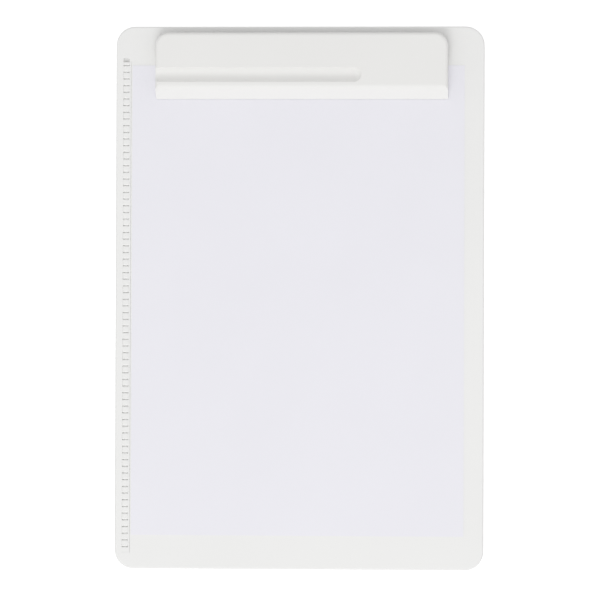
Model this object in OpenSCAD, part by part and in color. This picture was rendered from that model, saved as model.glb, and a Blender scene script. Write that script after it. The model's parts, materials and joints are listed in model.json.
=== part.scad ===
// Storage clipboard box: a shallow tray whose lid is the writing board. A comb hinge runs down
// the board's left side, and a low clip with a pen channel holds the paper at its rear end.
// X points right, Y to the rear (the clip's end), Z up. The origin is under the middle of the
// box, on the surface that the feet stand on.

/* [Board] */
// Width of the writing board, hinge side to free side
board_w = 233; // [228:1:260]
// Length of the writing board, front to rear
board_l = 343; // [338:1:380]
// Radius of the board's corners in plan
corner_r = 12; // [10:0.5:16]
// Height from the underside of the tray to the top of the board
box_h = 18; // [16:0.5:30]
// Thickness of the board
lid_t = 2.4; // [2.2:0.1:2.8]
// Rounding of the board's upper edge
edge_r = 1.2; // [0.6:0.1:1.8]

/* [Board rim and catch] */
// Gap between the board and the tray's edge below it
lid_gap = 0.3; // [0.2:0.05:0.5]
// Gap between the board's inner rim and the tray's wall
rim_fit = 0.35; // [0.25:0.05:0.6]
// Thickness of the board's inner rim
rim_t = 1.4; // [1.2:0.1:2]
// Height of the board's inner rim
rim_h = 2.8; // [2.6:0.1:4]
// Radius of the two catch beads on the rim
bead_r = 0.9; // [0.7:0.05:1.1]
// How far a catch bead stands out of the rim
bead_proud = 0.6; // [0.4:0.05:0.7]
// Length of a catch bead
bead_l = 24; // [10:1:40]
// Distance between the middles of the two catch beads
bead_spread = 150; // [60:5:220]

/* [Tray] */
// Thickness of the tray's walls
wall_t = 2.2; // [2:0.1:2.8]
// Thickness of the tray's floor
floor_t = 1.8; // [1.4:0.1:2.6]
// Rounding of the tray's lower edge
base_edge_r = 2.5; // [1:0.25:3.5]
// How far the tray's walls stand in from the board's outline
tray_inset = 0.3; // [0.1:0.1:0.8]
// Length of the finger scoop in the free side
scoop_l = 44; // [30:1:60]
// Depth of the finger scoop
scoop_depth = 1.1; // [0.6:0.1:1.2]
// Height of the finger scoop below the tray's edge
scoop_h = 7; // [4:0.5:9]

/* [Feet] */
// Radius of a rubber foot
foot_r = 5; // [4:0.5:8]
// Thickness of a rubber foot
foot_t = 1.4; // [1.2:0.1:1.8]
// How far a foot stands out of the tray
foot_proud = 0.8; // [0.6:0.1:1]
// Distance of a foot's centre from the board's edges
foot_inset = 24; // [18:1:40]
// Gap round a foot in its pocket
foot_fit = 0.1; // [0.05:0.05:0.3]

/* [Hinge] */
// Distance of the hinge axis from the board's left edge
hinge_inset = 6.5; // [6.4:0.1:8]
// Depth of the hinge axis below the top of the board
hinge_depth = 2.35; // [2.3:0.05:2.6]
// Radius of the hinge knuckles
barrel_r = 2.9; // [2.8:0.05:3]
// Depth of the knuckles' flat tops below the top of the board
knuckle_depth = 0.15; // [0.1:0.05:0.3]
// Radius of the hinge rod
hinge_rod_r = 1.3; // [1:0.05:1.4]
// Running gap round the hinge rod
hinge_rod_fit = 0.05; // [0.03:0.01:0.08]
// Pitch of the knuckles
knuckle_pitch = 4.23; // [3.6:0.01:8]
// Gap between two knuckles
knuckle_gap = 0.15; // [0.12:0.01:0.4]
// Rounding of the knuckles' upper edges beside the gaps
knuckle_edge_r = 0.9; // [0.4:0.05:1.1]
// Length of the foremost knuckle, which the board carries
front_knuckle_l = 3.65; // [3:0.01:6]
// Shortest length of the rearmost knuckle
rear_knuckle_min = 1.2; // [1:0.1:3]
// Gap between the tray's knuckles and the board that turns round them
hinge_clear = 0.15; // [0.12:0.01:0.2]
// Distance from the axis to the sides of the hinge slot
slot_half = 1.9; // [1.7:0.05:1.9]
// Distance from the board's rear edge to the hinge slot's pocket
slot_rear_inset = 20.2; // [16:0.1:30]
// Distance from the board's front edge to the hinge slot
slot_front_inset = 10.1; // [8:0.1:20]
// Length of the pocket behind the rearmost knuckle
pocket_l = 2; // [1.5:0.1:4]
// Depth of that pocket
pocket_depth = 1.8; // [1:0.1:2]
// Distance from the axis to the groove beside the slot
groove_x = 2.8; // [2.7:0.05:3.2]
// Width of the groove
groove_w = 0.35; // [0.3:0.05:0.6]
// Depth of the groove
groove_depth = 0.5; // [0.3:0.05:0.6]
// Thickness of the tray's wall that carries the knuckles
hinge_wall_t = 1.8; // [1.6:0.1:2.4]
// Room round the board's swinging left strip
swing_clear = 0.4; // [0.3:0.05:0.8]

/* [Clip] */
// Width of the clip
clip_w = 184.5; // [170:0.5:190]
// Depth of the clip, rear to front
clip_d = 41.5; // [40.5:0.5:46]
// Height of the clip's top above the board
clip_h = 10.5; // [10:0.25:13]
// Offset of the clip's middle to the right of the board's middle
clip_x = 1.3; // [0:0.1:2]
// Distance of the clip from the board's rear edge
clip_rear_inset = 4.5; // [3:0.1:6]
// Radius of the clip's rear corners in plan
clip_corner_r = 8.5; // [6:0.5:14]
// Rounding of the clip's upper edge
clip_edge_r = 2.4; // [1:0.1:3.2]
// Thickness of the clip's shell
clip_t = 1.8; // [1.5:0.1:2]
// Slope of the clip's front face below level
front_slope = 58; // [52:1:60]
// Rounding between the clip's top and its front face
front_r = 4.8; // [3:0.1:5]
// Height of the clip's lower edge above the board
lip_h = 0.6; // [0.5:0.05:0.9]
// Height of the clip's rear edge above the board
rear_lift = 4.2; // [4.1:0.05:4.6]

/* [Clip pivot] */
// Distance of the rod's axis from the clip's rear
pivot_d = 17; // [16.8:0.1:17.1]
// Height of the rod's axis above the board
pivot_h = 5.2; // [5:0.05:5.4]
// Radius of the rod
rod_r = 1.5; // [1.2:0.05:1.5]
// Running gap round the rod in the clip
rod_fit = 0.05; // [0.03:0.01:0.08]
// Gap round the rod in the fixed ears
ear_fit = 0.02; // [0.01:0.01:0.04]
// Radius of the clip's bosses
boss_r = 3.2; // [2.8:0.1:3.4]
// Thickness of the clip's bosses
boss_t = 2.5; // [2:0.1:4]
// Gap between a boss and the ear beside it
boss_gap = 0.4; // [0.3:0.05:0.8]
// Radius of the push nuts on the rod's ends
nut_r = 2.8; // [2.4:0.1:3.2]
// Thickness of a push nut
nut_t = 0.8; // [0.6:0.1:1.2]
// Length of rod outside a push nut
rod_tail = 1; // [0.5:0.1:2]

/* [Pen channel] */
// Width of the channel at the clip's top
channel_w = 9.3; // [8:0.1:10]
// Depth of the channel
channel_depth = 3.5; // [2.5:0.1:3.6]
// Distance of the channel's middle from the clip's rear
channel_d = 26.7; // [26.2:0.1:27]
// Length of the channel from the clip's left side
channel_l = 130; // [90:0.5:150]
// Thickness of the shell below the channel
channel_t = 1.6; // [1.2:0.1:1.8]

/* [Clip base] */
// Length of the steel base along the rod
base_w = 150; // [140:1:158]
// Thickness of the steel base and its ears
base_t = 1; // [0.8:0.05:1.2]
// Distance of the base's rear edge from the clip's rear
base_rear_d = 4; // [3:0.5:5]
// Radius of the ears round the rod
ear_r = 2.8; // [2.4:0.1:2.9]
// Distance between the two ears of a pair
ear_span = 38; // [34:1:44]
// Radius of a rivet's shank
rivet_r = 1.5; // [1.2:0.05:1.8]
// Gap round a rivet's shank
rivet_fit = 0.05; // [0.02:0.01:0.1]
// Radius of a rivet's heads
rivet_head_r = 2.8; // [2.4:0.1:3.2]
// Height of a rivet's heads
rivet_head_h = 0.8; // [0.6:0.1:1]
// Distance of the rivets from the clip's rear
rivet_d = 8.5; // [8:0.1:9]
// Distance from the base's ends to its outer rivets
outer_rivet_inset = 10; // [7:0.5:12]
// Distance from the outer rivets to the inner ones
rivet_span = 45; // [43:0.5:50]

/* [Springs] */
// Diameter of the spring wire
spring_wire_d = 1; // [0.8:0.05:1]
// Gap between the rod and the inside of the coil
spring_fit = 0.3; // [0.2:0.05:0.35]
// Whole turns in a coil
spring_turns = 5; // [3:1:7]
// Gap between two turns
turn_gap = 0.45; // [0.42:0.01:0.6]
// Length of the spring's legs
leg_l = 9; // [7:0.5:10]
// Slope of the leg that bears on the base
lower_leg_slope = 7; // [5:0.5:7.5]
// Slope of the leg that bears on the clip
upper_leg_slope = 2; // [1:0.5:2.5]
// Distance from a coil's inner end to the outer ear
spring_inset = 24; // [21:0.5:28]

/* [Paper and jaw] */
// Width of the paper
sheet_w = 210; // [205:1:211]
// Length of the paper
sheet_l = 297; // [280:1:300]
// Thickness of the paper, a few sheets
sheet_t = 0.3; // [0.1:0.05:0.35]
// Distance from the board's left edge to the paper
sheet_left_inset = 10.4; // [10.4:0.1:11]
// Distance from the board's rear edge to the paper
sheet_rear_inset = 24.7; // [24:0.1:25.4]
// Gap between the paper's rear edge and the base that stops it
stop_gap = 0.2; // [0.1:0.05:0.4]
// Width of the soft pad in the jaw
pad_w = 3.4; // [2.4:0.1:3.6]
// Distance between the pad and the clip's front lip
pad_lip = 2.9; // [2.8:0.1:3.2]
// Gap between the pad and the paper
jaw_gap = 0.05; // [0.05:0.01:0.2]
// Height of the pad's top above the board
pad_top = 1.3; // [1.1:0.05:1.6]
// Height of the seat above the pad
seat_h = 2.9; // [2:0.1:3.5]
// Width of the seat that the pad leaves behind it
seat_margin = 0.3; // [0.2:0.05:0.6]
// Gap between the pad's ends and the clip's sides
pad_end_gap = 2; // [1:0.5:6]

/* [Hidden] */
$fn = 64;
eps = 0.01;
over = 1;

// Heights
lid_top_z = foot_proud + box_h;
lid_low_z = lid_top_z - lid_t;
rim_z = lid_low_z - lid_gap;
floor_z = foot_proud + floor_t;
hinge_z = lid_top_z - hinge_depth;

// Hinge, from left to right
hinge_x = -board_w / 2 + hinge_inset;
relief_r = barrel_r + hinge_clear;
hinge_wall_x = hinge_x + relief_r;
hinge_wall_end_x = hinge_wall_x + hinge_wall_t;
swing_r = sqrt(pow(hinge_inset, 2) + pow(hinge_depth, 2));
ledge_z = hinge_z - swing_r - swing_clear;

// Hinge, from front to rear
slot_front_y = -board_l / 2 + slot_front_inset;
slot_rear_y = board_l / 2 - slot_rear_inset;
comb_rear_y = slot_rear_y - pocket_l;
first_gap_y = slot_front_y + front_knuckle_l + knuckle_gap / 2;
comb_room = comb_rear_y - first_gap_y - rear_knuckle_min - knuckle_gap / 2;
gap_pairs = floor(comb_room / knuckle_pitch / 2);
last_gap = 2 * gap_pairs;
bore_r = hinge_rod_r + hinge_rod_fit;

// Tray plan
tray_w = board_w - 2 * tray_inset;
tray_l = board_l - 2 * tray_inset;
tray_r = corner_r - tray_inset;
rim_in = tray_inset + wall_t + rim_fit;

// Clip, measured forward from its rear edge and up from the board
clip_rear_y = board_l / 2 - clip_rear_inset;
clip_in_h = clip_h - clip_t;
front_corner_d = clip_d - (clip_h - lip_h) / tan(front_slope);
front_wall_run = clip_t / sin(front_slope);
round_run = front_r * tan(front_slope / 2);
flat_lip_d = pivot_d - over;
channel_r = (pow(channel_w / 2, 2) + pow(channel_depth, 2)) / (2 * channel_depth);
channel_z = clip_h - channel_depth + channel_r;
ear_x = base_w / 2 - base_t;
inner_ear_x = ear_x - base_t - ear_span;
outer_rivet_x = base_w / 2 - outer_rivet_inset;
inner_rivet_x = outer_rivet_x - rivet_span;
spring_x = ear_x - spring_inset;
outer_boss_x = base_w / 2 + boss_gap;
nut_x = outer_boss_x + boss_t + boss_gap;
rod_half = nut_x + nut_t + rod_tail;
sheet_rear_y = board_l / 2 - sheet_rear_inset;
base_front_d = clip_rear_y - sheet_rear_y - stop_gap;
pad_front_d = clip_d - pad_lip;

// Springs
coil_r = rod_r + spring_fit + spring_wire_d / 2;
turn_pitch = spring_wire_d + turn_gap;
turn_steps = 8;
wire_sides = 6;
coil_start = lower_leg_slope - 90;
coil_sweep = 360 * spring_turns + 180 - lower_leg_slope - upper_leg_slope;
coil_rings = ceil(coil_sweep / 360 * turn_steps);

plastic_white = [0.93, 0.93, 0.92];
paper_white = [0.92, 0.92, 0.95];
steel_grey = [0.72, 0.73, 0.75];
rubber_grey = [0.35, 0.35, 0.36];
pad_grey = [0.80, 0.80, 0.80];

// ---------- shared shapes ----------

// Rectangle with round corners, centred
module plan(w, l, r) {
  square([w - 2 * r, l], center = true);
  square([w, l - 2 * r], center = true);
  for (sx = [-1, 1], sy = [-1, 1]) {
    translate([sx * (w / 2 - r), sy * (l / 2 - r)]) circle(r);
  }
}

// Half of a section through a slab from its middle: a flat top with a rounded edge
module slab_half(r, h, edge) {
  square([r, h - edge]);
  square([r - edge, h]);
  translate([r - edge, h - edge]) circle(edge);
}

// The whole section, of width w
module slab_section(w, h, edge) {
  for (side = [0, 1]) mirror([side, 0]) slab_half(w / 2, h, edge);
}

// Slab with round corners in plan and a rounded upper edge, standing on Z = 0
module soft_slab(w, l, r, h, edge) {
  rotate([90, 0, 0]) linear_extrude(l - 2 * r, center = true) slab_section(w, h, edge);
  rotate([90, 0, 90]) linear_extrude(w - 2 * r, center = true) slab_section(l, h, edge);
  for (sx = [-1, 1], sy = [-1, 1]) {
    translate([sx * (w / 2 - r), sy * (l / 2 - r), 0]) rotate_extrude() slab_half(r, h, edge);
  }
}

// Cylinder along Y from y0 to y1 on the hinge axis
module hinge_bar(y0, y1, r) {
  translate([hinge_x, y0, hinge_z]) rotate([-90, 0, 0]) cylinder(r = r, h = y1 - y0);
}

// Where a knuckle starts and ends; number 0 is the foremost one
function knuckle_y0(i) = i == 0
  ? slot_front_y - over
  : first_gap_y + (i - 1) * knuckle_pitch + knuckle_gap / 2;
function knuckle_y1(i) = i == last_gap + 1
  ? comb_rear_y
  : first_gap_y + i * knuckle_pitch - knuckle_gap / 2;

// Block as long as a knuckle and reaching that far from the axis, its upper edges rounded
module knuckle_block(i, reach) {
  y0 = knuckle_y0(i);
  y1 = knuckle_y1(i);
  translate([hinge_x, (y0 + y1) / 2, hinge_z - barrel_r - over]) rotate([90, 0, 90])
    linear_extrude(2 * reach, center = true)
      slab_section(y1 - y0, barrel_r + over + hinge_depth - knuckle_depth, knuckle_edge_r);
}

// A knuckle of the tray: it stands on a neck that grows from the wall
module tray_knuckle(i) {
  y0 = knuckle_y0(i);
  l = knuckle_y1(i) - y0;
  intersection() {
    hinge_bar(y0 - over, y0 + l + over, barrel_r);
    knuckle_block(i, barrel_r + over);
  }
  translate([hinge_x, y0, hinge_z - barrel_r + over])
    cube([relief_r + eps, l, rim_z - hinge_z + barrel_r - over]);
}

// A knuckle of the board, which bridges the slot
module lid_knuckle(i) {
  y0 = knuckle_y0(i) - over;
  y1 = knuckle_y1(i) + over;
  half = slot_half + over;
  intersection() {
    union() {
      hinge_bar(y0, y1, barrel_r);
      translate([hinge_x - half, y0, lid_low_z + over / 2]) cube([2 * half, y1 - y0, lid_t]);
    }
    knuckle_block(i, barrel_r + over);
  }
}

// The room in the board that a knuckle of the tray needs
module knuckle_room(i) {
  hinge_bar(knuckle_y0(i) - knuckle_gap, knuckle_y1(i) + knuckle_gap, relief_r);
}

// The frame that the clip is drawn in: Y forward from its rear edge, Z up from the board
module clip_frame() {
  translate([clip_x, clip_rear_y, lid_top_z]) mirror([0, 1, 0]) children();
}

// A plate across the clip frame, from x0 for a thickness t, of a shape drawn in depth and height
module across(x0, t) {
  translate([x0, 0, 0]) rotate([90, 0, 90]) linear_extrude(t) children();
}

// ---------- tray ----------

module tray() {
  color(plastic_white) difference() {
    union() {
      difference() {
        tray_shell();
        hinge_relief();
      }
      for (i = [1 : 2 : last_gap + 1]) tray_knuckle(i);
    }
    hinge_bar(slot_front_y - over, slot_rear_y + over, bore_r);
    finger_scoop();
    catch_beads(bead_r + rim_fit);
    for (sx = [-1, 1], sy = [-1, 1]) foot_disc(sx, sy, foot_r + foot_fit, foot_t);
  }
}

module tray_shell() {
  difference() {
    translate([0, 0, rim_z]) mirror([0, 0, 1])
      soft_slab(tray_w, tray_l, tray_r, rim_z - foot_proud, base_edge_r);
    translate([0, 0, floor_z]) linear_extrude(ledge_z - wall_t - floor_z) tray_inside();
    translate([0, 0, floor_z]) linear_extrude(box_h) difference() {
      tray_inside();
      translate([-board_w, -board_l]) square([board_w + hinge_wall_end_x, 2 * board_l]);
    }
  }
}

module tray_inside() {
  plan(tray_w - 2 * wall_t, tray_l - 2 * wall_t, tray_r - wall_t);
}

// The room in the tray's left side that the board's edge swings down into
module hinge_relief() {
  translate([hinge_wall_x - board_w, -board_l, ledge_z]) cube([board_w, 2 * board_l, box_h]);
}

// Shallow hollow in the free side, where a finger lifts the board
module finger_scoop() {
  flat_l = scoop_l - 2 * scoop_h;
  translate([tray_w / 2 - scoop_depth, 0, rim_z]) {
    translate([0, -flat_l / 2, -scoop_h]) cube([over + scoop_depth, flat_l, scoop_h + over]);
    for (sy = [-1, 1]) {
      translate([0, sy * flat_l / 2, 0]) rotate([0, 90, 0])
        cylinder(r = scoop_h, h = over + scoop_depth);
    }
  }
}

// The catch: beads on the board's rim, and a little larger the grooves that take them
module catch_beads(r) {
  x = board_w / 2 - rim_in + bead_proud - bead_r;
  for (sy = [-1, 1]) {
    translate([x, sy * bead_spread / 2, lid_low_z - rim_h + bead_r + lid_gap])
      rotate([90, 0, 0]) cylinder(r = r, h = bead_l + 2 * (r - bead_r), center = true);
  }
}

module foot_disc(sx, sy, r, t) {
  translate([sx * (board_w / 2 - foot_inset), sy * (board_l / 2 - foot_inset), 0])
    cylinder(r = r, h = t);
}

module foot(sx, sy) {
  color(rubber_grey) foot_disc(sx, sy, foot_r, foot_t);
}

module hinge_rod() {
  color(plastic_white) hinge_bar(slot_front_y + over, comb_rear_y, hinge_rod_r);
}

// ---------- lid: the writing board ----------

module lid() {
  color(plastic_white) difference() {
    union() {
      difference() {
        translate([0, 0, lid_low_z]) soft_slab(board_w, board_l, corner_r, lid_t, edge_r);
        hinge_slot();
        for (i = [1 : 2 : last_gap + 1]) knuckle_room(i);
      }
      lid_rim();
      for (i = [0 : 2 : last_gap]) lid_knuckle(i);
    }
    hinge_bar(slot_front_y + over / 2, comb_rear_y, bore_r);
    rivet_rows() translate([0, 0, -lid_t - over])
      cylinder(r = rivet_r + rivet_fit, h = lid_t + 2 * over);
  }
}

// Slot for the knuckles, the pocket behind it and the fine groove beside it
module hinge_slot() {
  slot_l = comb_rear_y + knuckle_gap - slot_front_y;
  translate([hinge_x - slot_half, slot_front_y, lid_low_z - over])
    cube([2 * slot_half, slot_l, lid_t + 2 * over]);
  translate([hinge_x - slot_half, comb_rear_y, lid_top_z - pocket_depth])
    cube([2 * slot_half, pocket_l, lid_t]);
  translate([hinge_x + groove_x, slot_front_y, lid_top_z - groove_depth])
    cube([groove_w, comb_rear_y - slot_front_y, lid_t]);
}

// Rim under the board's three free sides, inside the tray's walls, with the catch beads
module lid_rim() {
  w = board_w - 2 * rim_in;
  l = board_l - 2 * rim_in;
  r = corner_r - rim_in;
  translate([0, 0, lid_low_z - rim_h]) linear_extrude(rim_h + eps) difference() {
    plan(w, l, r);
    plan(w - 2 * rim_t, l - 2 * rim_t, r - rim_t);
    translate([hinge_wall_end_x + rim_fit - board_w, -board_l]) square([board_w, 2 * board_l]);
  }
  catch_beads(bead_r);
}

module paper_sheet() {
  color(paper_white)
    translate([sheet_left_inset - board_w / 2, sheet_rear_y - sheet_l, lid_top_z])
      cube([sheet_w, sheet_l, sheet_t]);
}

// ---------- clip ----------

// Places its children at each rivet, on the board's top
module rivet_rows() {
  clip_frame() for (x = [-outer_rivet_x, -inner_rivet_x, inner_rivet_x, outer_rivet_x]) {
    translate([x, rivet_d, 0]) children();
  }
}

// Steel strip with four ears that carry the rod; its front edge stops the paper
module clip_base() {
  color(steel_grey) difference() {
    clip_frame() {
      translate([-base_w / 2, base_rear_d, 0]) cube([base_w, base_front_d - base_rear_d, base_t]);
      for (x = [-ear_x - base_t, -inner_ear_x - base_t, inner_ear_x, ear_x]) {
        across(x, base_t) ear_shape();
      }
    }
    rod_bar(rod_half, rod_r + ear_fit);
    rivet_rows() cylinder(r = rivet_r + rivet_fit, h = 2 * base_t);
  }
}

module ear_shape() {
  translate([pivot_d, pivot_h]) circle(ear_r);
  translate([pivot_d - ear_r, 0]) square([2 * ear_r, pivot_h]);
}

module rod_bar(half, r) {
  clip_frame() translate([-half, pivot_d, pivot_h]) rotate([0, 90, 0])
    cylinder(r = r, h = 2 * half);
}

module clip_rod() {
  color(steel_grey) rod_bar(rod_half, rod_r);
}

module push_nut(side) {
  x = side > 0 ? nut_x : -nut_x - nut_t;
  color(steel_grey) difference() {
    clip_frame() translate([x, pivot_d, pivot_h]) rotate([0, 90, 0])
      cylinder(r = nut_r, h = nut_t);
    rod_bar(rod_half + over, rod_r + ear_fit);
  }
}

module base_rivets() {
  color(steel_grey) rivet_rows() {
    translate([0, 0, base_t]) cylinder(r = rivet_head_r, h = rivet_head_h);
    translate([0, 0, -lid_t - rivet_head_h / 2])
      cylinder(r = rivet_r, h = lid_t + base_t + rivet_head_h);
    translate([0, 0, -lid_t - rivet_head_h]) cylinder(r = rivet_head_r, h = rivet_head_h);
  }
}

// Side view of the clip, solid: flat top, rounded front edge, sloping front, raised rear
module clip_side() {
  slope_x = cos(front_slope) * round_run;
  slope_z = sin(front_slope) * round_run;
  polygon([
    [0, rear_lift], [0, clip_h],
    [front_corner_d - round_run, clip_h],
    [front_corner_d + slope_x, clip_h - slope_z],
    [clip_d, lip_h], [flat_lip_d, lip_h]
  ]);
  translate([front_corner_d - round_run, clip_h - front_r]) circle(front_r);
}

// Side view of the clip's hollow
module clip_hollow_side() {
  top_d = front_corner_d + clip_t / tan(front_slope) - front_wall_run;
  low_d = front_corner_d + (clip_h + over) / tan(front_slope) - front_wall_run;
  polygon([[clip_t, -over], [clip_t, clip_in_h], [top_d, clip_in_h], [low_d, -over]]);
}

module clip_outside() {
  reach = clip_d + 2 * clip_corner_r;
  intersection() {
    translate([0, reach / 2, 0]) soft_slab(clip_w, reach, clip_corner_r, clip_h, clip_edge_r);
    across(-clip_w / 2 - over, clip_w + 2 * over) clip_side();
  }
}

module clip_hollow() {
  w = clip_w - 2 * clip_t;
  reach = clip_d + 2 * clip_corner_r;
  intersection() {
    translate([0, reach / 2, -over])
      linear_extrude(clip_h + over) plan(w, reach - 2 * clip_t, clip_corner_r - clip_t);
    across(-w, 2 * w) clip_hollow_side();
  }
}

// Round-bottomed channel with a ball end, open at the clip's left side
module channel(r, grow) {
  end_x = channel_l - channel_w / 2 - clip_w / 2;
  start_x = -clip_w / 2 - grow;
  translate([start_x, channel_d, channel_z]) rotate([0, 90, 0])
    cylinder(r = r, h = end_x - start_x);
  translate([end_x, channel_d, channel_z]) sphere(r);
}

// Bosses that turn on the rod, one beside each ear of the base
module bosses() {
  inner_x = inner_ear_x - boss_gap - boss_t;
  for (x = [-outer_boss_x - boss_t, -inner_x - boss_t, inner_x, outer_boss_x]) {
    across(x, boss_t) {
      translate([pivot_d, pivot_h]) circle(boss_r);
      translate([pivot_d - boss_r, pivot_h]) square([2 * boss_r, clip_in_h - pivot_h + eps]);
    }
  }
}

// Solid bar behind the clip's front face, with the pad under it
module pad_seat() {
  seat_d = pad_front_d - pad_w - seat_margin;
  intersection() {
    clip_outside();
    translate([-clip_w / 2, seat_d, pad_top]) cube([clip_w, clip_d - seat_d, seat_h]);
  }
}

module clip_flap() {
  color(plastic_white) difference() {
    clip_frame() difference() {
      union() {
        difference() {
          clip_outside();
          clip_hollow();
        }
        intersection() {
          clip_outside();
          channel(channel_r + channel_t, 0);
        }
        bosses();
        pad_seat();
      }
      channel(channel_r, over);
    }
    rod_bar(rod_half + over, rod_r + rod_fit);
  }
}

module jaw_pad() {
  half = clip_w / 2 - clip_t - pad_end_gap;
  low = sheet_t + jaw_gap;
  color(pad_grey) clip_frame()
    translate([-half, pad_front_d - pad_w, low]) cube([2 * half, pad_w, pad_top - low]);
}

// ---------- springs ----------

// A point of the coil: its centre line turns round the rod's axis and steps along it
function coil_point(i) =
  let (a = coil_start + coil_sweep * i / coil_rings)
  [turn_pitch * coil_sweep / 360 * i / coil_rings,
   pivot_d + coil_r * cos(a), pivot_h + coil_r * sin(a)];
lower_leg = [0, -cos(lower_leg_slope), -sin(lower_leg_slope)] * leg_l;
upper_leg = [0, -cos(upper_leg_slope), sin(upper_leg_slope)] * leg_l;
coil_path = [for (i = [0 : coil_rings]) coil_point(i)];
spring_path = concat(
  [coil_path[0] + lower_leg], coil_path, [coil_path[coil_rings] + upper_leg]
);

// Directions along and across the path at one of its points
function unit(v) = v / norm(v);
function along(path, i) =
  unit(path[min(i + 1, len(path) - 1)] - path[max(i - 1, 0)]);
function ring(path, i, r, sides) =
  let (
    t = along(path, i),
    side = unit([1, 0, 0] - t[0] * t),
    up = cross(t, side)
  )
  [for (k = [0 : sides - 1])
    path[i] + r * (cos(360 * k / sides) * side + sin(360 * k / sides) * up)];

// One unbroken tube along a path
module tube(path, r, sides) {
  n = len(path);
  points = [for (i = [0 : n - 1]) each ring(path, i, r, sides)];
  walls = [
    for (i = [0 : n - 2], k = [0 : sides - 1])
      let (a = i * sides + k, b = i * sides + (k + 1) % sides)
      each [[a, a + sides, b], [b, a + sides, b + sides]]
  ];
  ends = [
    [for (k = [0 : sides - 1]) k],
    [for (k = [0 : sides - 1]) n * sides - 1 - k]
  ];
  polyhedron(points, concat(walls, ends), convexity = 8);
}

// Least gap between two stretches of the coil that are half a turn or more apart
coil_gap = min([
  for (i = [0 : coil_rings], j = [i + turn_steps / 2 : 1 : coil_rings])
    norm(coil_path[i] - coil_path[j])
]) - spring_wire_d;
echo(coil_gap = coil_gap);

module clip_spring(side) {
  color(steel_grey) clip_frame() mirror([side > 0 ? 0 : 1, 0, 0])
    translate([spring_x, 0, 0]) tube(spring_path, spring_wire_d / 2, wire_sides);
}

tray();
foot(-1, -1);  // foot_front_left
foot(1, -1);  // foot_front_right
foot(-1, 1);  // foot_rear_left
foot(1, 1);  // foot_rear_right
hinge_rod();
lid();
paper_sheet();
clip_base();
base_rivets();
clip_rod();
push_nut(-1);  // push_nut_left
push_nut(1);  // push_nut_right
clip_spring(-1);  // clip_spring_left
clip_spring(1);  // clip_spring_right
clip_flap();
jaw_pad();
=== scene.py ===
"""Looks of the storage clipboard box: materials, detailed meshes, light and camera.

Metres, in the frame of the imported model: X to the board's free side, Y to the clip's end, Z up.
"""
import json
import math

import bpy
import bmesh
from mathutils import Euler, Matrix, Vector


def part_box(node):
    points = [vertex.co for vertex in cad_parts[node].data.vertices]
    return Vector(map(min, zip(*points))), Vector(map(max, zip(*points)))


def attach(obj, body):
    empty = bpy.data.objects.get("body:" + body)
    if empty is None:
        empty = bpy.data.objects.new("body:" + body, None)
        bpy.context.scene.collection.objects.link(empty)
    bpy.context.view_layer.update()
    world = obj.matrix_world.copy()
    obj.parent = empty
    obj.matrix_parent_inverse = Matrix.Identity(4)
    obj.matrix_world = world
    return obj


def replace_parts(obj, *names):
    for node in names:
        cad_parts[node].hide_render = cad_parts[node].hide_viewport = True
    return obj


MM = 0.001

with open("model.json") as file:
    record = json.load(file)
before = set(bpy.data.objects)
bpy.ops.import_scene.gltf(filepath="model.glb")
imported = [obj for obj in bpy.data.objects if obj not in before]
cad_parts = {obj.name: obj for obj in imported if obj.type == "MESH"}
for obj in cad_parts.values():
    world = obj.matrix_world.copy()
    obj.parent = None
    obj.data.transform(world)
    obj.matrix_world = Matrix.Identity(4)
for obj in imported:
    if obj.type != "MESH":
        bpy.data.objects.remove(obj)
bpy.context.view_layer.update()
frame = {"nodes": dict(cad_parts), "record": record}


# ---------- node helpers ----------

NOISE_LOW = 0.3
NOISE_HIGH = 0.7

def new_material(name):
    """A material with only a Principled BSDF, and its node tree."""
    material = bpy.data.materials.new(name)
    material.use_nodes = True
    tree = material.node_tree
    shader = tree.nodes["Principled BSDF"]
    return material, tree, shader


def object_coords(tree, scale=(1, 1, 1)):
    """Object coordinates, stretched by scale."""
    coords = tree.nodes.new("ShaderNodeTexCoord")
    mapping = tree.nodes.new("ShaderNodeMapping")
    mapping.inputs["Scale"].default_value = scale
    tree.links.new(coords.outputs["Object"], mapping.inputs["Vector"])
    return mapping.outputs["Vector"]


def noise(tree, vector, scale, detail=2.0, roughness=0.5):
    """Noise of that many cells per metre."""
    node = tree.nodes.new("ShaderNodeTexNoise")
    node.inputs["Scale"].default_value = scale
    node.inputs["Detail"].default_value = detail
    node.inputs["Roughness"].default_value = roughness
    tree.links.new(vector, node.inputs["Vector"])
    return node.outputs["Fac"]


def ramp(tree, factor, stops):
    """A colour ramp of two stops, each a position and a linear colour."""
    node = tree.nodes.new("ShaderNodeValToRGB")
    for element, (position, colour) in zip(node.color_ramp.elements, stops):
        element.position = position
        element.color = (*colour, 1)
    tree.links.new(factor, node.inputs["Fac"])
    return node.outputs["Color"]


def spread(tree, factor, low, high):
    """Maps noise, which mostly stays between its two limits, to the range from low to high."""
    node = tree.nodes.new("ShaderNodeMapRange")
    node.inputs["From Min"].default_value = NOISE_LOW
    node.inputs["From Max"].default_value = NOISE_HIGH
    node.inputs["To Min"].default_value = low
    node.inputs["To Max"].default_value = high
    tree.links.new(factor, node.inputs["Value"])
    return node.outputs["Result"]


def bump(tree, height, depth, below=None):
    """A bump of that depth in metres, laid over the one below."""
    node = tree.nodes.new("ShaderNodeBump")
    node.inputs["Strength"].default_value = 1.0
    node.inputs["Distance"].default_value = depth
    tree.links.new(height, node.inputs["Height"])
    if below is not None:
        tree.links.new(below, node.inputs["Normal"])
    return node.outputs["Normal"]


def shades(colour, change):
    """Two shades of a colour, darker and lighter by that share, at a ramp's stops."""
    return [(NOISE_LOW, [c * (1 - change) for c in colour]),
            (NOISE_HIGH, [c * (1 + change) for c in colour])]


# ---------- materials ----------
# Sizes that end in CELLS are noise cells per metre; those in DEPTH are bump depths in metres.

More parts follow.
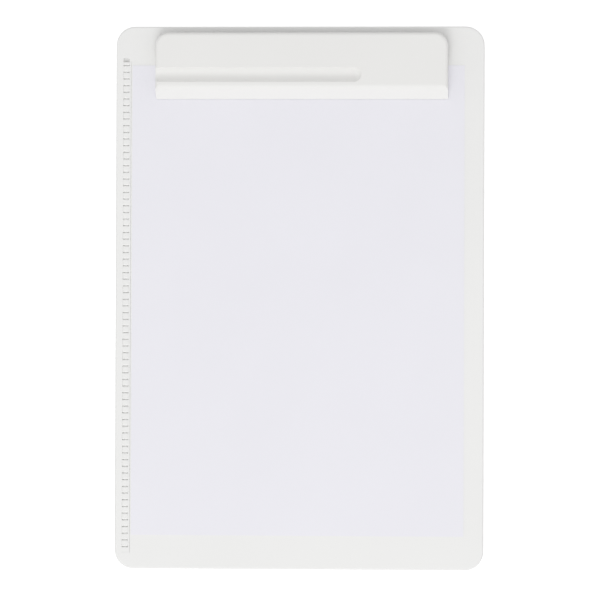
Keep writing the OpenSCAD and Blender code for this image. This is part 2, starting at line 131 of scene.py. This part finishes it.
MOULD_CLOUD_CELLS = 14
MOULD_WAVE_CELLS = 45
MOULD_WAVE_DEPTH = 0.03 * MM
MOULD_CLOUD_CHANGE = 0.008
PLASTIC_IOR = 1.5
PLASTIC_SPECULAR = 0.45


def moulded_plastic(name, colour, gloss, grain_size, grain_depth):
    """White moulded plastic with a fine etched grain and faint clouds from the moulding."""
    material, tree, shader = new_material(name)
    where = object_coords(tree)
    clouds = noise(tree, where, MOULD_CLOUD_CELLS, detail=3)
    grain = noise(tree, where, 1 / grain_size, detail=3, roughness=0.6)
    waves = noise(tree, where, MOULD_WAVE_CELLS, detail=1)
    tones = shades(colour, MOULD_CLOUD_CHANGE)
    tree.links.new(ramp(tree, clouds, tones), shader.inputs["Base Color"])
    tree.links.new(spread(tree, grain, gloss - 0.04, gloss + 0.05), shader.inputs["Roughness"])
    surface = bump(tree, waves, MOULD_WAVE_DEPTH)
    tree.links.new(bump(tree, grain, grain_depth, below=surface), shader.inputs["Normal"])
    shader.inputs["IOR"].default_value = PLASTIC_IOR
    shader.inputs["Specular IOR Level"].default_value = PLASTIC_SPECULAR
    return material


FIBRES_ALONG = (1, 0.22, 1)
FIBRES_ACROSS = (0.3, 1, 1)
FIBRE_ALONG_CELLS = 2600
FIBRE_ACROSS_CELLS = 1900
FIBRE_ALONG_DEPTH = 0.018 * MM
FIBRE_ACROSS_DEPTH = 0.012 * MM
PAPER_CLOUD_CELLS = 22
PAPER_CLOUD_CHANGE = 0.006
PAPER_SPECULAR = 0.2


def office_paper(name, colour):
    """Bright uncoated paper: pressed fibres in two directions and a faint cloudiness."""
    material, tree, shader = new_material(name)
    along = noise(tree, object_coords(tree, FIBRES_ALONG), FIBRE_ALONG_CELLS,
                  detail=4, roughness=0.65)
    across = noise(tree, object_coords(tree, FIBRES_ACROSS), FIBRE_ACROSS_CELLS,
                   detail=3, roughness=0.6)
    clouds = noise(tree, object_coords(tree), PAPER_CLOUD_CELLS, detail=4)
    tones = shades(colour, PAPER_CLOUD_CHANGE)
    tree.links.new(ramp(tree, clouds, tones), shader.inputs["Base Color"])
    tree.links.new(spread(tree, along, 0.82, 0.95), shader.inputs["Roughness"])
    surface = bump(tree, across, FIBRE_ACROSS_DEPTH)
    tree.links.new(bump(tree, along, FIBRE_ALONG_DEPTH, below=surface), shader.inputs["Normal"])
    shader.inputs["Specular IOR Level"].default_value = PAPER_SPECULAR
    return material


STREAK_CELLS = 900
STREAK_DEPTH = 0.01 * MM
BLOOM_CELLS = 260
BLOOM_CHANGE = 0.07


def steel(name, colour, gloss, streaks):
    """Drawn or rolled steel with streaks along one axis."""
    material, tree, shader = new_material(name)
    lines = noise(tree, object_coords(tree, streaks), STREAK_CELLS, detail=4, roughness=0.7)
    bloom = noise(tree, object_coords(tree), BLOOM_CELLS, detail=3)
    tree.links.new(ramp(tree, bloom, shades(colour, BLOOM_CHANGE)), shader.inputs["Base Color"])
    tree.links.new(spread(tree, lines, gloss - 0.08, gloss + 0.12), shader.inputs["Roughness"])
    tree.links.new(bump(tree, lines, STREAK_DEPTH), shader.inputs["Normal"])
    shader.inputs["Metallic"].default_value = 1.0
    return material


RUBBER_GRAIN_CELLS = 1900
RUBBER_GRAIN_DEPTH = 0.03 * MM
RUBBER_CLOUD_CELLS = 90
RUBBER_CLOUD_CHANGE = 0.03
RUBBER_SPECULAR = 0.3


def rubber(name, colour):
    """Soft matte rubber with a fine grain."""
    material, tree, shader = new_material(name)
    where = object_coords(tree)
    grain = noise(tree, where, RUBBER_GRAIN_CELLS, detail=4, roughness=0.65)
    clouds = noise(tree, where, RUBBER_CLOUD_CELLS)
    tones = shades(colour, RUBBER_CLOUD_CHANGE)
    tree.links.new(ramp(tree, clouds, tones), shader.inputs["Base Color"])
    tree.links.new(spread(tree, grain, 0.7, 0.86), shader.inputs["Roughness"])
    tree.links.new(bump(tree, grain, RUBBER_GRAIN_DEPTH), shader.inputs["Normal"])
    shader.inputs["Specular IOR Level"].default_value = RUBBER_SPECULAR
    return material


SHELL_COLOUR = (0.887, 0.886, 0.877)
CLIP_COLOUR = (0.866, 0.862, 0.848)
PAPER_COLOUR = (0.880, 0.874, 0.925)
PLATED_COLOUR = (0.66, 0.67, 0.69)
SPRING_COLOUR = (0.55, 0.56, 0.58)
FOOT_COLOUR = (0.52, 0.52, 0.52)
PAD_COLOUR = (0.70, 0.70, 0.69)

finishes = {
    "shell_white": moulded_plastic("shell_white_look", SHELL_COLOUR, 0.52, 0.32 * MM, 0.02 * MM),
    "clip_white": moulded_plastic("clip_white_look", CLIP_COLOUR, 0.50, 0.25 * MM, 0.012 * MM),
    "rod_white": moulded_plastic("rod_white_look", CLIP_COLOUR, 0.44, 0.20 * MM, 0.008 * MM),
    "paper_white": office_paper("paper_white_look", PAPER_COLOUR),
    "plated_steel": steel("plated_steel_look", PLATED_COLOUR, 0.34, (0.08, 1, 1)),
    "spring_steel": steel("spring_steel_look", SPRING_COLOUR, 0.30, (1, 0.3, 0.3)),
    "foot_rubber": rubber("foot_rubber_look", FOOT_COLOUR),
    "pad_rubber": rubber("pad_rubber_look", PAD_COLOUR),
}

slot_of = {part["node"]: part["material_slot"] for part in frame["record"]["subparts"]}
for name, node in frame["nodes"].items():
    node.data.materials.clear()
    node.data.materials.append(finishes[slot_of[name]])


# ---------- springs ----------

WIRE_R = 0.5 * MM
WIRE_SIDES = 12
COIL_R = 2.3 * MM
TURN_PITCH = 1.45 * MM
COIL_TURNS = 5
STEPS_PER_TURN = 32
LEG_L = 9.0 * MM
LOWER_SLOPE = math.radians(7)
UPPER_SLOPE = math.radians(2)
TAIL_TURN = math.radians(20)
TAIL_STEPS = 4
LEG_SHARE = 0.96


def wire(name, points, radius, body):
    """A closed round wire along points that stay near a plane square to X."""
    mesh = bmesh.new()
    rings = []
    for i, point in enumerate(points):
        before = points[max(i - 1, 0)]
        after = points[min(i + 1, len(points) - 1)]
        along = (after - before).normalized()
        side = (Vector((1, 0, 0)) - along * along.x).normalized()
        up = along.cross(side)
        turns = [2 * math.pi * k / WIRE_SIDES for k in range(WIRE_SIDES)]
        rings.append([mesh.verts.new(point + radius * (math.cos(t) * side + math.sin(t) * up))
                      for t in turns])
    for one, two in zip(rings, rings[1:]):
        for k in range(WIRE_SIDES):
            nxt = (k + 1) % WIRE_SIDES
            mesh.faces.new((one[k], one[nxt], two[nxt], two[k])).smooth = True
    mesh.faces.new(rings[0])
    mesh.faces.new(rings[-1])
    bmesh.ops.recalc_face_normals(mesh, faces=mesh.faces)
    data = bpy.data.meshes.new(name)
    mesh.to_mesh(data)
    mesh.free()
    data.materials.append(finishes["spring_steel"])
    piece = bpy.data.objects.new(name, data)
    bpy.context.scene.collection.objects.link(piece)
    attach(piece, body)
    return piece


def make_spring(side_name, side):
    """A torsion spring: its coil rests with the board, its upper leg turns with the clip.

    The leg starts with a short, thinner tail inside the coil's last turn, so no gap shows.
    """
    node = "clip_spring_" + side_name
    low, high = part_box(node)
    rod_low, rod_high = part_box("clip_rod")
    axis_y = (rod_low[1] + rod_high[1]) / 2
    axis_z = (rod_low[2] + rod_high[2]) / 2
    start_x = low[0] + WIRE_R if side > 0 else high[0] - WIRE_R
    start = LOWER_SLOPE - math.pi / 2
    sweep = 2 * math.pi * COIL_TURNS + math.pi - LOWER_SLOPE - UPPER_SLOPE

    def coil_point(turned):
        angle = start + turned
        return Vector((start_x + side * TURN_PITCH * turned / (2 * math.pi),
                       axis_y - COIL_R * math.cos(angle), axis_z + COIL_R * math.sin(angle)))

    steps = math.ceil(sweep / (2 * math.pi) * STEPS_PER_TURN)
    coil = [coil_point(sweep * i / steps) for i in range(steps + 1)]
    lower_tip = coil[0] + LEG_L * Vector((0, math.cos(LOWER_SLOPE), -math.sin(LOWER_SLOPE)))
    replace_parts(wire("spring_coil_" + side_name, [lower_tip] + coil, WIRE_R, "board"), node)
    tail = [coil_point(sweep - TAIL_TURN * (1 - i / TAIL_STEPS)) for i in range(TAIL_STEPS + 1)]
    upper_tip = coil[-1] + LEG_L * Vector((0, math.cos(UPPER_SLOPE), math.sin(UPPER_SLOPE)))
    wire("spring_leg_" + side_name, tail + [upper_tip], WIRE_R * LEG_SHARE, "clip")


make_spring("left", -1)
make_spring("right", 1)


# ---------- stage ----------

FLOOR_SIZE = 12.0
FLOOR_GLOW = 0.90
FLOOR_COLOUR = (0.35, 0.35, 0.35)


def camera_share(tree):
    """1 for what the camera, a mirror or glass sees, and 0 for what lights the object."""
    rays = tree.nodes.new("ShaderNodeLightPath")
    seen = rays.outputs["Is Camera Ray"]
    for other in ("Is Glossy Ray", "Is Transmission Ray"):
        add = tree.nodes.new("ShaderNodeMath")
        add.operation = "ADD"
        add.use_clamp = True
        tree.links.new(seen, add.inputs[0])
        tree.links.new(rays.outputs[other], add.inputs[1])
        seen = add.outputs["Value"]
    return seen


def make_floor():
    """White ground that keeps the object's shadow."""
    bpy.ops.mesh.primitive_plane_add(size=FLOOR_SIZE, location=(0, 0, 0))
    floor = bpy.context.object
    floor.name = "floor"
    material = bpy.data.materials.new("floor_look")
    material.use_nodes = True
    tree = material.node_tree
    tree.nodes.clear()
    output = tree.nodes.new("ShaderNodeOutputMaterial")
    diffuse = tree.nodes.new("ShaderNodeBsdfDiffuse")
    diffuse.inputs["Color"].default_value = (*FLOOR_COLOUR, 1)
    glow = tree.nodes.new("ShaderNodeEmission")
    glow.inputs["Color"].default_value = (1, 1, 1, 1)
    strength = tree.nodes.new("ShaderNodeMath")
    strength.operation = "MULTIPLY"
    strength.inputs[1].default_value = FLOOR_GLOW
    tree.links.new(camera_share(tree), strength.inputs[0])
    tree.links.new(strength.outputs["Value"], glow.inputs["Strength"])
    both = tree.nodes.new("ShaderNodeAddShader")
    tree.links.new(diffuse.outputs["BSDF"], both.inputs[0])
    tree.links.new(glow.outputs["Emission"], both.inputs[1])
    tree.links.new(both.outputs["Shader"], output.inputs["Surface"])
    floor.data.materials.append(material)


SKY_TOP = 0.70
SKY_SIDE = 0.96
SKY_LEAN = 0.07
LIGHT_AZIMUTH = math.radians(8)


def make_world():
    """Soft sky, brightest low down and towards the board's front edge; white to the camera."""
    world = bpy.data.worlds.new("studio")
    bpy.context.scene.world = world
    world.use_nodes = True
    tree = world.node_tree
    background = tree.nodes["Background"]
    background.inputs["Color"].default_value = (1, 1, 1, 1)
    ray = tree.nodes.new("ShaderNodeTexCoord")
    forward = tree.nodes.new("ShaderNodeVectorMath")
    forward.operation = "DOT_PRODUCT"
    forward.inputs[1].default_value = (-math.sin(LIGHT_AZIMUTH), -math.cos(LIGHT_AZIMUTH), 0)
    tree.links.new(ray.outputs["Generated"], forward.inputs[0])
    parts = tree.nodes.new("ShaderNodeSeparateXYZ")
    tree.links.new(ray.outputs["Generated"], parts.inputs["Vector"])
    height = tree.nodes.new("ShaderNodeMapRange")
    height.inputs["To Min"].default_value = SKY_SIDE
    height.inputs["To Max"].default_value = SKY_TOP
    tree.links.new(parts.outputs["Z"], height.inputs["Value"])
    level = tree.nodes.new("ShaderNodeMath")
    level.operation = "MULTIPLY_ADD"
    level.inputs[1].default_value = SKY_LEAN
    tree.links.new(forward.outputs["Value"], level.inputs[0])
    tree.links.new(height.outputs["Result"], level.inputs[2])
    seen = tree.nodes.new("ShaderNodeMapRange")
    seen.inputs["To Max"].default_value = 1.0
    tree.links.new(camera_share(tree), seen.inputs["Value"])
    tree.links.new(level.outputs["Value"], seen.inputs["To Min"])
    tree.links.new(seen.outputs["Result"], background.inputs["Strength"])


KEY_ELEVATION = math.radians(50)
KEY_DISTANCE = 3.0
KEY_SIZE = 1.6
KEY_WATTS = 19.0


def make_key_light():
    """Large soft lamp beyond the board's front edge, a little to the left."""
    lamp = bpy.data.lights.new("key", "AREA")
    lamp.shape = "SQUARE"
    lamp.size = KEY_SIZE
    lamp.energy = KEY_WATTS
    flat = math.cos(KEY_ELEVATION)
    towards = Vector((-math.sin(LIGHT_AZIMUTH) * flat, -math.cos(LIGHT_AZIMUTH) * flat,
                      math.sin(KEY_ELEVATION)))
    key = bpy.data.objects.new("key", lamp)
    key.location = towards * KEY_DISTANCE
    key.rotation_euler = towards.to_track_quat("Z", "Y").to_euler()
    bpy.context.scene.collection.objects.link(key)


CAMERA_LENS = 200
CAMERA_SENSOR = 36
CAMERA_PLACE = (98.4 * MM, -22.7 * MM, 2121.4 * MM)
CAMERA_TILT = (0.588, 2.665, 0.193)


def make_camera():
    """Looks straight down from about 2.1 m up, with the photograph's slight tilt."""
    data = bpy.data.cameras.new("camera")
    data.lens = CAMERA_LENS
    data.sensor_width = CAMERA_SENSOR
    camera = bpy.data.objects.new("camera", data)
    camera.location = CAMERA_PLACE
    camera.rotation_euler = Euler([math.radians(a) for a in CAMERA_TILT])
    bpy.context.scene.collection.objects.link(camera)
    bpy.context.scene.camera = camera


make_camera()
make_floor()
make_world()
make_key_light()
bpy.context.scene.view_settings.view_transform = "Standard"
